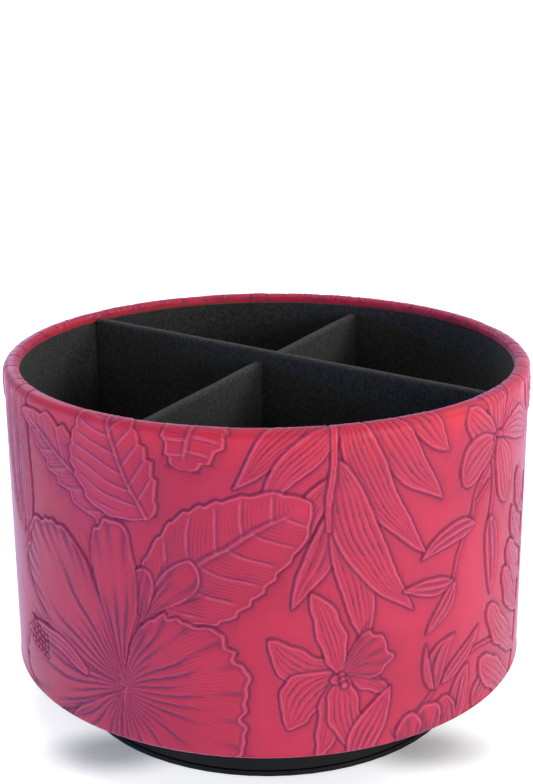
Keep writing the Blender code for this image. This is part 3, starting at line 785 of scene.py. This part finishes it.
def makeFibreboard():
    finish = Finish("fibreboard", {"Specular IOR Level": 0.25})
    fibre = finish.noise(420, 4, 0.65, finish.stretched((1, 1, 3)))
    chip = finish.noise(1300, 3)
    cloud = finish.noise(40, 3)
    colour = finish.blend(finish.between(fibre, 0.35, 0.65), (0.27, 0.17, 0.09, 1), (0.44, 0.31, 0.19, 1))
    colour = finish.blend(0.4 * chip + 0.2 * cloud, colour, (0.20, 0.12, 0.065, 1))
    finish.feed("Base Color", colour)
    finish.feed("Roughness", 0.78 + 0.15 * chip)
    finish.feed("Normal", finish.bump(fibre + 0.6 * chip, 0.4, 0.0003))
    return finish.material


def makeBacking():
    # coated backing sheet, with the fine cross-hatch that it was rolled with
    finish = Finish("black_backing", {"Specular IOR Level": 0.35})
    cloud = finish.noise(60, 3)
    waves = [finish.add("ShaderNodeTexWave", {"bands_direction": way}, {
        "Vector": finish.place, "Scale": 260.0, "Distortion": 0.6, "Detail": 1.0}, "Fac")
        for way in ("X", "Y")]
    hatch = waves[0] * waves[1]
    sheet = finish.blend(0.5 * cloud + 0.4 * hatch, (0.010, 0.010, 0.011, 1), (0.026, 0.026, 0.028, 1))
    finish.feed("Base Color", sheet)
    finish.feed("Roughness", 0.55 + 0.25 * cloud)
    finish.feed("Normal", finish.bump(hatch, 0.4, 0.0002))
    return finish.material


finishes = {
    "raspberry_leather": makeLeather(),
    "black_felt": makeFelt(),
    "black_plastic": makeMoulded("black_plastic"),
    "black_rubber": makeMoulded("black_rubber"),
    "zinc_steel": makeSteel(),
    "white_nylon": makeNylon(),
    "fibreboard": makeFibreboard(),
    "black_backing": makeBacking(),
}
print("finishes made:", len(finishes))


def startPiece():
    # every operator below acts on what is selected, so nothing is left selected
    if bpy.context.object and bpy.context.object.mode != "OBJECT":
        bpy.ops.object.mode_set(mode="OBJECT")
    bpy.ops.object.select_all(action="DESELECT")


def finishPiece(obj, name, finish, body, *stoodFor):
    obj.name = name
    obj.data.name = name
    obj.data.materials.clear()
    obj.data.materials.append(finishes[finish])
    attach(obj, body)
    if stoodFor:
        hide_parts(*stoodFor)
    print("piece", name, len(obj.data.polygons), "faces")
    return obj


def applyModifier(obj, kind, **settings):
    modifier = obj.modifiers.new(kind.lower(), kind)
    for name, value in settings.items():
        setattr(modifier, name, value)
    bpy.context.view_layer.objects.active = obj
    bpy.ops.object.modifier_apply(modifier=modifier.name)


def ring(places):
    # a grid wrapped round the axis and round its own section, given as [column][row] points
    places = np.asarray(places, np.float32)
    columns, rows = places.shape[:2]
    startPiece()
    bpy.ops.mesh.primitive_grid_add(x_subdivisions=columns, y_subdivisions=rows, size=1)
    made = bpy.context.object
    flat = np.zeros(len(made.data.vertices) * 3, np.float32)
    made.data.vertices.foreach_get("co", flat)
    flat = flat.reshape(-1, 3)
    column = np.round((flat[:, 0] + 0.5) * columns).astype(int) % columns
    row = np.round((flat[:, 1] + 0.5) * rows).astype(int) % rows
    made.data.vertices.foreach_set("co", places[column, row].ravel())
    made.data.update()
    bpy.ops.object.mode_set(mode="EDIT")
    bpy.ops.mesh.select_all(action="SELECT")
    bpy.ops.mesh.remove_doubles(threshold=0.000001)
    bpy.ops.object.mode_set(mode="OBJECT")
    return made


def arcRows(centre, radius, start, end, count):
    angles = np.radians(np.linspace(start, end, count))
    return [(centre[0] + radius * math.cos(a), centre[1] + radius * math.sin(a)) for a in angles]


wrapPlan = {
    "rimOuterRound": 3.2 * mm,
    "rimInnerRound": 1.9 * mm,
    "leather": 1.2 * mm,
    "hemLeather": 1.0 * mm,
    "flapLeather": 0.9 * mm,
    "flapInner": 89.3 * mm,
    "flapDepth": 3.3 * mm,
    "hemInner": 87.0 * mm,
    "lowerCorner": 0.6 * mm,
    "rimFlattened": 0.68,
    "groundDrop": 0.24 * mm,      # the ground of the pattern, under the motifs' tops
    "deepest": -0.62,             # mm, of the relief
    "highest": 0.72,
    "triangles": 192000,
    # mm, where the leather's two ends overlap at the back
    "seamStep": 0.28,
    "seamLap": 5,
    "seamFade": 4,
    "seamCut": (0.5, 0.45),       # depth and half-width
}


def makeWrap():
    plan = wrapPlan
    low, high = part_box("leather_wrap")
    outer, bottom, top = high.x, low.z, high.z
    rimRound = plan["rimOuterRound"]
    centre = (outer - rimRound, top - rimRound)
    innerRound = plan["rimInnerRound"]
    innerCentre = (plan["flapInner"] + innerRound, top - innerRound)
    # along the leather in mm: up the wall, over the rim to its crown, across, and down inside
    straight = (centre[1] - bottom) / mm
    curve = math.pi / 2 * rimRound / mm
    crown = straight + curve
    inward = crown + (centre[0] - innerCentre[0]) / mm
    innerCurve = math.pi / 2 * innerRound / mm
    whole = inward + innerCurve
    press = Pressing(2 * math.pi * outer / mm, whole + 1.0,
                     pressPlan["columns"],
                     pressPlan["step"])
    pressWall(press)
    columns = press.columns
    u = np.arange(columns) * press.du - press.around / 2
    seam = np.minimum(u + press.around / 2, press.around / 2 - u)
    past = u + press.around / 2 - plan["seamLap"]
    overlap = plan["seamStep"] * (1 - smooth(past / plan["seamFade"])) * (u < 0)
    cutDepth, cutWide = plan["seamCut"]
    press.height += overlap[:, None] - cutDepth * bell(seam, cutWide)[:, None]
    press.dye = np.maximum(press.dye, 0.9 * bell(seam, 0.5)[:, None])
    print("pattern pressed:", columns, "by", press.rows)

    # rows round the section, from the lower corner up the wall, over the rim, and back down inside
    corner = plan["lowerCorner"]
    v = np.arange(press.rows) * press.dv
    kept = (v > corner / mm) & (v < whole - 0.2)
    section = arcRows((outer - corner, bottom + corner), corner, 270, 355, 4)
    normals = [(0, 0)] * 4
    weights = [0.0] * 4
    pressed = [-1] * 4
    for k in np.flatnonzero(kept):
        turned = min(max(0.0, (v[k] - straight) / curve), 1.0)
        turned += max(0.0, (v[k] - inward) / innerCurve)
        facing = (math.cos(turned * math.pi / 2), math.sin(turned * math.pi / 2))
        if v[k] < straight:
            section.append((outer, bottom + v[k] * mm))
        elif v[k] < crown:
            section.append((centre[0] + rimRound * facing[0], centre[1] + rimRound * facing[1]))
        elif v[k] < inward:
            section.append((centre[0] - (v[k] - crown) * mm, top))
        else:
            section.append((innerCentre[0] + innerRound * facing[0],
                            innerCentre[1] + innerRound * facing[1]))
        normals.append(facing)
        # the leather is stretched over the rim, where its relief is pulled nearly flat
        stretched = 1 - plan["rimFlattened"] * smooth((v[k] - straight + 1.5) / 3)
        ends = smooth((v[k] - 0.2) / 1.1) * smooth((whole - 0.3 - v[k]) / 1.2)
        weights.append(float(ends * stretched))
        pressed.append(k)
    flapInner = plan["flapInner"]
    flap = plan["flapLeather"]
    flapEnd = top - plan["flapDepth"]
    inner = outer - plan["leather"]
    hemTop = bottom + plan["hemLeather"]
    hemEnd = plan["hemInner"] + 0.3 * mm
    plain = [
        *arcRows((flapInner + flap / 2, flapEnd + flap / 2), flap / 2, 180, 360, 7),
        *arcRows(innerCentre, innerRound - flap, 180, 90, 5),
        *arcRows(centre, rimRound - plan["leather"], 90, 0, 6),
        (inner, bottom + straight * mm * 0.66), (inner, bottom + straight * mm * 0.33),
        (inner, hemTop), (hemEnd, hemTop),
        *arcRows((hemEnd, (bottom + hemTop) / 2), plan["hemLeather"] / 2, 90, 270, 6),
        (outer - 3 * mm, bottom),
    ]
    section += plain
    normals += [(0, 0)] * len(plain)
    weights += [0.0] * len(plain)
    pressed += [-1] * len(plain)

    height = np.clip(press.height, plan["deepest"], plan["highest"])
    lift = np.zeros((columns, len(section)))
    rows = np.flatnonzero(np.array(pressed) >= 0)
    lift[:, rows] = height[:, np.array(pressed)[rows]] * mm - plan["groundDrop"]
    lift *= np.array(weights)
    radius = np.array([p[0] for p in section]) + lift * np.array([n[0] for n in normals])
    level = np.array([p[1] for p in section]) + lift * np.array([n[1] for n in normals])
    angle = (u / (press.around / 2) * math.pi)[:, None]
    wrap = ring(np.stack([radius * np.sin(angle), -radius * np.cos(angle), level], -1))
    faces = len(wrap.data.polygons) * 2
    if faces > plan["triangles"]:
        applyModifier(wrap, "DECIMATE", ratio=plan["triangles"] / faces)
    print("wrap thinned to", len(wrap.data.polygons))

    # the dye and painted shade, the crests' rubbed colour and painted highlight, and the fine lines are kept
    # at each point of the finished mesh
    places = np.zeros(len(wrap.data.vertices) * 3, np.float32)
    wrap.data.vertices.foreach_get("co", places)
    places = places.reshape(-1, 3)
    radius = np.hypot(places[:, 0], places[:, 1])
    column = (np.arctan2(places[:, 0], -places[:, 1]) + math.pi) / (2 * math.pi) * columns
    level = places[:, 2]
    overOuter = np.hypot(radius - centre[0], level - centre[1])
    overInner = np.hypot(radius - innerCentre[0], level - innerCentre[1])
    turnedOuter = np.arctan2(level - centre[1], radius - centre[0]) / (math.pi / 2)
    turnedInner = np.arctan2(level - innerCentre[1], radius - innerCentre[0]) / (math.pi / 2) - 1
    zones = [
        (level < centre[1]) & (radius > inner + 0.05 * mm),
        (level >= centre[1]) & (radius > centre[0]) & (overOuter > rimRound - plan["leather"] * 0.55),
        (level > top - 0.5 * mm) & (radius <= centre[0]) & (radius > innerCentre[0]),
        (level >= innerCentre[1]) & (radius <= innerCentre[0]) & (overInner > innerRound - flap * 0.5),
    ]
    height = np.select(zones, [
        (level - bottom) / mm, straight + turnedOuter * curve,
        crown + (centre[0] - radius) / mm, inward + turnedInner * innerCurve])
    outside = np.any(zones, axis=0)
    row = np.clip(height / press.dv, 0, press.rows - 1.001)
    left = np.floor(column).astype(int)
    under = np.floor(row).astype(int)
    shareU = column - left
    shareV = row - under
    for name, field in (("dye", press.dye), ("crest", press.crest),
                        ("lineTurn", press.turn), ("lineDepth", press.depth)):
        if name == "lineTurn":
            found = field[np.round(column).astype(int) % columns, np.round(row).astype(int)]
        else:
            a, b = left % columns, (left + 1) % columns
            found = ((field[a, under] * (1 - shareU) + field[b, under] * shareU) * (1 - shareV)
                     + (field[a, under + 1] * (1 - shareU) + field[b, under + 1] * shareU) * shareV)
        layer = wrap.data.attributes.new(name, "FLOAT", "POINT")
        layer.data.foreach_set("value", np.where(outside, found, 0).astype(np.float32))
    bpy.ops.object.shade_smooth()
    return finishPiece(wrap, "leather_cover", "raspberry_leather", "cup", "leather_wrap")


makeWrap()


feltPlan = {
    "liningColumns": 240,
    "liningRows": 44,
    "liningWave": 0.10 * mm,
    "edgeRound": 0.35 * mm,
    "divider": 4.0 * mm,
    "felt": 0.5 * mm,
    "dividerRound": 1.4 * mm,
    "dividerWave": 0.13 * mm,
    "mainAngle": -37.2,
    "mainOffset": 5.0 * mm,       # of its middle plane, behind the axis
    "crossAngle": 62.3,
    "crossOffset": 5.6 * mm,      # of its middle plane, towards the left
    "clear": 0.3 * mm,
    "padRound": 0.35 * mm,
    "liningThick": 0.8 * mm,
    "padSteps": 192,
}


def softWave(x, y, z, seed=0.0):
    # a slow unevenness, from -1 to 1, as hand-laid felt has
    return (math.sin(61 * x + 37 * z + seed) + math.sin(83 * y - 71 * z + 2 * seed)
            + 0.6 * math.sin(190 * x - 150 * y + 120 * z + seed)) / 2.6


def makeLining():
    plan = feltPlan
    low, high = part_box("wall_lining")
    outer = high.x
    inner = outer - plan["liningThick"]
    edge = plan["edgeRound"]
    levels = np.linspace(low.z + edge, high.z - edge, plan["liningRows"])
    rows = [(outer, z) for z in levels]
    rows += arcRows((outer - edge, high.z - edge), edge, 0, 90, 4)[1:]
    rows += arcRows((inner + edge, high.z - edge), edge, 90, 180, 4)
    rows += [(inner, z) for z in levels[::-1]][1:]
    rows += [(inner, low.z), (outer, low.z)]
    places = []
    for column in range(plan["liningColumns"]):
        angle = 2 * math.pi * column / plan["liningColumns"]
        c, s = math.cos(angle), math.sin(angle)
        places.append([])
        for radius, z in rows:
            wave = plan["liningWave"] * softWave(c * 0.09, s * 0.09, z) if radius < inner + edge else 0
            places[-1].append(((radius + wave) * c, (radius + wave) * s, z))
    ring(places)
    bpy.ops.object.shade_smooth_by_angle(angle=math.radians(50))
    finishPiece(bpy.context.object, "felt_lining", "black_felt", "cup", "wall_lining")


def direction(degrees):
    return Vector((math.cos(math.radians(degrees)), math.sin(math.radians(degrees)), 0))


def across(degrees):
    return Vector((-math.sin(math.radians(degrees)), math.cos(math.radians(degrees)), 0))


def reach(offset, radius):
    return math.sqrt(radius ** 2 - offset ** 2)


def makeDivider(name, degrees, middle, start, end, seed):
    # a box without its floor and ends, rounded along the top, then given the felt's thickness
    plan = feltPlan
    low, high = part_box(name)
    size = plan["divider"]
    startPiece()
    bpy.ops.mesh.primitive_cube_add(size=1)
    felt = bpy.context.object
    felt.dimensions = (end - start, size, high.z - low.z)
    bpy.ops.object.transform_apply(scale=True)
    bpy.ops.object.mode_set(mode="EDIT")
    mesh = bmesh.from_edit_mesh(felt.data)
    for face in mesh.faces:
        face.select_set(face.normal.z < -0.9 or abs(face.normal.x) > 0.9)
    bmesh.update_edit_mesh(felt.data)
    bpy.ops.mesh.delete(type="ONLY_FACE")
    mesh = bmesh.from_edit_mesh(felt.data)
    for edge in mesh.edges:
        ends = [v.co for v in edge.verts]
        edge.select_set(all(v.z > 0 for v in ends) and abs(ends[0].x - ends[1].x) > size)
    bmesh.update_edit_mesh(felt.data)
    bpy.ops.mesh.bevel(offset=plan["dividerRound"], segments=6)
    # bars along it and up it, so that the sides can swell a little
    tall = high.z - low.z
    bars = [((step / 56 - 0.5) * (end - start), 0, 0) for step in range(1, 56)]
    levels = [(0, 0, -tall / 2 + step / 34 * (tall - plan["dividerRound"])) for step in range(1, 34)]
    for places, facing in ((bars, (1, 0, 0)), (levels, (0, 0, 1))):
        for place in places:
            bpy.ops.mesh.select_all(action="SELECT")
            bpy.ops.mesh.bisect(plane_co=place, plane_no=facing)
    bpy.ops.object.mode_set(mode="OBJECT")
    along = direction(degrees)
    side = across(degrees)
    centre = middle + along * (start + end) / 2 + Vector((0, 0, (low.z + high.z) / 2))
    for vertex in felt.data.vertices:
        x, y, z = vertex.co
        wave = plan["dividerWave"] * softWave(x, 0, z, seed + (3 if y > 0 else 0))
        firm = min(1, max(0, (0.5 * tall - abs(z)) / (6 * mm)))
        y -= math.copysign(abs(wave) * firm, y)
        sag = 0.22 * mm * abs(softWave(x * 0.8, 0.01, 0, seed + 5))
        z -= sag * (z > 0.45 * tall)
        vertex.co = centre + along * x + side * y + Vector((0, 0, z))
    felt.data.update()
    startPiece()
    felt.select_set(True)
    bpy.context.view_layer.objects.active = felt
    applyModifier(felt, "SOLIDIFY", thickness=plan["felt"] * 0.75, offset=-1.0)
    bpy.ops.object.shade_smooth_by_angle(angle=math.radians(50))
    finishPiece(felt, name.replace("_felt", "_cover"), "black_felt", "cup", name)


def meet(degreesA, offsetA, degreesB, offsetB):
    a, b = across(degreesA), across(degreesB)
    size = a.x * b.y - a.y * b.x
    return Vector(((offsetA * b.y - offsetB * a.y) / size, (a.x * offsetB - b.x * offsetA) / size, 0))


def makeDividers(radius):
    plan = feltPlan
    half = plan["divider"] / 2
    mainMiddle = across(plan["mainAngle"]) * plan["mainOffset"]
    mainHalf = reach(plan["mainOffset"] + half, radius)
    makeDivider("main_divider_felt", plan["mainAngle"], mainMiddle, -mainHalf, mainHalf, 1)
    crossMiddle = meet(plan["mainAngle"], plan["mainOffset"], plan["crossAngle"], plan["crossOffset"])
    foot = across(plan["crossAngle"]) * plan["crossOffset"]
    along = (crossMiddle - foot).dot(direction(plan["crossAngle"]))
    crossReach = reach(abs(plan["crossOffset"]) + half, radius)
    lean = abs(math.cos(math.radians(plan["crossAngle"] - plan["mainAngle"])))
    clear = (half + half * lean) / math.sqrt(1 - lean ** 2) + plan["clear"]
    makeDivider("front_divider_felt", plan["crossAngle"], crossMiddle, -crossReach - along, -clear, 2)
    makeDivider("rear_divider_felt", plan["crossAngle"], crossMiddle, clear, crossReach - along, 3)


def makePads(radius):
    # a disc of felt, cut along both dividers, and one quarter kept for each compartment
    plan = feltPlan
    clear = plan["divider"] / 2 + plan["clear"]
    quarters = {"front_left": (-1, 1), "front_right": (-1, -1), "rear_left": (1, 1), "rear_right": (1, -1)}
    for place, (mainSide, crossSide) in quarters.items():
        name = "floor_pad_" + place
        low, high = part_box(name)
        startPiece()
        bpy.ops.mesh.primitive_cylinder_add(vertices=plan["padSteps"], radius=radius, depth=high.z - low.z,
                                            location=(0, 0, (low.z + high.z) / 2))
        pad = bpy.context.object
        bpy.ops.object.transform_apply(location=True)
        bpy.ops.object.mode_set(mode="EDIT")
        for way, keep in (("main", mainSide), ("cross", crossSide)):
            side = across(plan[way + "Angle"])
            bpy.ops.mesh.select_all(action="SELECT")
            bpy.ops.mesh.bisect(plane_co=side * (plan[way + "Offset"] + keep * clear), plane_no=side * keep,
                                use_fill=True, clear_inner=True)
        mesh = bmesh.from_edit_mesh(pad.data)
        for edge in mesh.edges:
            edge.select_set(all(v.co.z > high.z - 0.1 * mm for v in edge.verts))
        bmesh.update_edit_mesh(pad.data)
        bpy.ops.mesh.bevel(offset=plan["padRound"], segments=3)
        bpy.ops.object.mode_set(mode="OBJECT")
        bpy.ops.object.shade_smooth_by_angle(angle=math.radians(40))
        finishPiece(pad, "floor_felt_" + place, "black_felt", "cup", name)


makeLining()
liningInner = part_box("wall_lining")[1].x - feltPlan["liningThick"]
makeDividers(liningInner - feltPlan["clear"] - 0.1 * mm)
makePads(liningInner - feltPlan["clear"])


basePlan = {
    "edge": 0.28 * mm,
    "smallEdge": 0.16 * mm,
    "sharper": 42,                # degrees, of the edges that are broken
}


def finerCopy(node, name, finish, body, edge):
    # a CAD node's own shape, merged, with its sharp edges broken as a mould leaves them
    startPiece()
    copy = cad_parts[node].copy()
    copy.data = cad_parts[node].data.copy()
    for key in list(copy.keys()):
        del copy[key]
    bpy.context.scene.collection.objects.link(copy)
    copy.parent = None
    copy.select_set(True)
    bpy.context.view_layer.objects.active = copy
    bpy.ops.object.mode_set(mode="EDIT")
    bpy.ops.mesh.select_all(action="SELECT")
    bpy.ops.mesh.remove_doubles(threshold=0.00002)
    bpy.ops.mesh.dissolve_limited(angle_limit=math.radians(1.0))
    bpy.ops.object.mode_set(mode="OBJECT")
    applyModifier(copy, "BEVEL", width=edge, segments=2, limit_method="ANGLE",
                  angle_limit=math.radians(basePlan["sharper"]))
    bpy.ops.object.shade_smooth_by_angle(angle=math.radians(35))
    return finishPiece(copy, name, finish, body, node)


finerCopy("turntable_drum", "base_drum", "black_plastic", "cup", basePlan["edge"])
finerCopy("lower_plate", "base_plate", "black_plastic", "base", basePlan["edge"])
finerCopy("pivot_bolt", "pivot_bolt_head", "zinc_steel", "base", basePlan["smallEdge"])
for number in range(1, 7):
    finerCopy(f"foot_{number}", f"rubber_foot_{number}", "black_rubber", "base", basePlan["smallEdge"])

cadFinishes = {
    "thrust_washer": "white_nylon", "ball_cage": "white_nylon", "nut_washer": "zinc_steel",
    "lock_nut": "zinc_steel", "bottom_cover": "black_backing", "floor_board": "fibreboard",
    "wall_board": "fibreboard",
}
for name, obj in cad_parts.items():
    if obj.hide_render:
        continue
    if name.startswith(("ball_", "drum_screw")) and name != "ball_cage":
        finish = "zinc_steel"
    elif name.endswith("_board"):
        finish = "fibreboard"
    else:
        finish = cadFinishes[name]
    obj.data.materials.clear()
    obj.data.materials.append(finishes[finish])
print("CAD nodes finished")


stagePlan = {
    "lens": 62.52,
    "away": 502.2 * mm,
    "height": 16.92,              # degrees above the rim's level
    "roll": -0.46,
    "aim": (-0.15 * mm, 0.0, 115.6 * mm),
    "floorHalf": 30.0,
    "surround": 0.365,
    "glow": (0.16, 0.69, 0.86),   # emission of the floor, which paints its shadows: in the painted shadows, round them, and far away
    "paintedShadowUnder": (0.060, 0.076),   # m from the axis, round the painted shadow under the base
    "glowFar": (0.15, 1.0),
    "paintedShadowAt": (0.056, 0.056),       # painted shadows, one under the wall on each side, at the front and the back
    "paintedShadowStretch": 0.6,
    "paintedShadowReach": (0.003, 0.020),
    "lights": {
        # name: place, size, power, colour
        "keySoftbox": ((1.15, 0.30, 0.95), 0.75, 8.6, (1.0, 0.99, 0.98)),
        "sideSoftbox": ((0.97, -1.08, 0.22), 0.9, 16.0, (1.0, 0.985, 0.98)),
        "coolFill": ((-1.3, -0.35, 0.20), 0.40, 9.0, (0.13, 0.36, 1.0)),
        "backSoftbox": ((-0.55, 1.3, 0.60), 0.5, 3.2, (0.76, 0.78, 1.0)),
        "topSoftbox": ((-0.2, 0.2, 1.5), 0.9, 6.0, (1.0, 1.0, 1.0)),
    },
}


def makeStage():
    plan = stagePlan
    startPiece()
    bpy.ops.mesh.primitive_plane_add(size=2 * plan["floorHalf"])
    floor = bpy.context.object
    floor.name = "pale_floor"
    finish = Finish("pale_floor", {
        "Roughness": 0.9, "Specular IOR Level": 0.1, "Emission Strength": 1.0})
    pale = finish.blend(finish.noise(3.0), (0.76, 0.76, 0.765, 1), (0.79, 0.79, 0.79, 1))
    finish.feed("Base Color", pale)
    # the floor's emission paints its shadows: darker under the base and in a lobe under the wall on each
    # side
    distance = finish.add("ShaderNodeVectorMath", {"operation": "LENGTH"}, {0: finish.place}, "Value")
    under, near, far = ((share,) * 3 + (1,) for share in plan["glow"])
    paintedShadowX, paintedShadowY = plan["paintedShadowAt"]
    stretch = plan["paintedShadowStretch"]
    mirrored = finish.add("ShaderNodeVectorMath", {"operation": "ABSOLUTE"}, {
        0: finish.stretched((stretch, 1, 1))})
    fromPaintedShadow = finish.add("ShaderNodeVectorMath", {"operation": "DISTANCE"}, {
        0: mirrored, 1: (paintedShadowX * stretch, paintedShadowY, 0)}, "Value")
    outsidePaintedShadow = finish.between(distance, *plan["paintedShadowUnder"]) * finish.between(fromPaintedShadow, *plan["paintedShadowReach"])
    glow = finish.blend(outsidePaintedShadow, under, near)
    finish.feed("Emission Color", finish.blend(finish.between(distance, *plan["glowFar"]), glow, far))
    floor.data.materials.append(finish.material)

    world = bpy.data.worlds.new("studio")
    bpy.context.scene.world = world
    world.use_nodes = True
    background = world.node_tree.nodes["Background"]
    background.inputs["Color"].default_value = (1.0, 1.0, 1.0, 1.0)
    background.inputs["Strength"].default_value = plan["surround"]

    aim = Vector(plan["aim"])
    for name, (place, size, power, colour) in plan["lights"].items():
        bpy.ops.object.light_add(type="AREA", location=place)
        light = bpy.context.object
        light.name = name
        light.data.shape = "DISK"
        light.data.size = size
        light.data.energy = power
        light.data.color = colour
        light.rotation_euler = (aim - Vector(place)).to_track_quat("-Z", "Y").to_euler()

    tilt = math.radians(plan["height"])
    back = Vector((0, -math.cos(tilt), math.sin(tilt)))
    bpy.ops.object.camera_add(location=aim + back * plan["away"])
    camera = bpy.context.object
    camera.data.lens = plan["lens"]
    camera.data.sensor_width = 36.0
    camera.rotation_euler = back.to_track_quat("Z", "Y").to_euler()
    camera.rotation_euler.rotate_axis("Z", math.radians(plan["roll"]))
    bpy.context.scene.camera = camera
    bpy.context.scene.view_settings.view_transform = "Standard"


makeStage()
print("stage set")
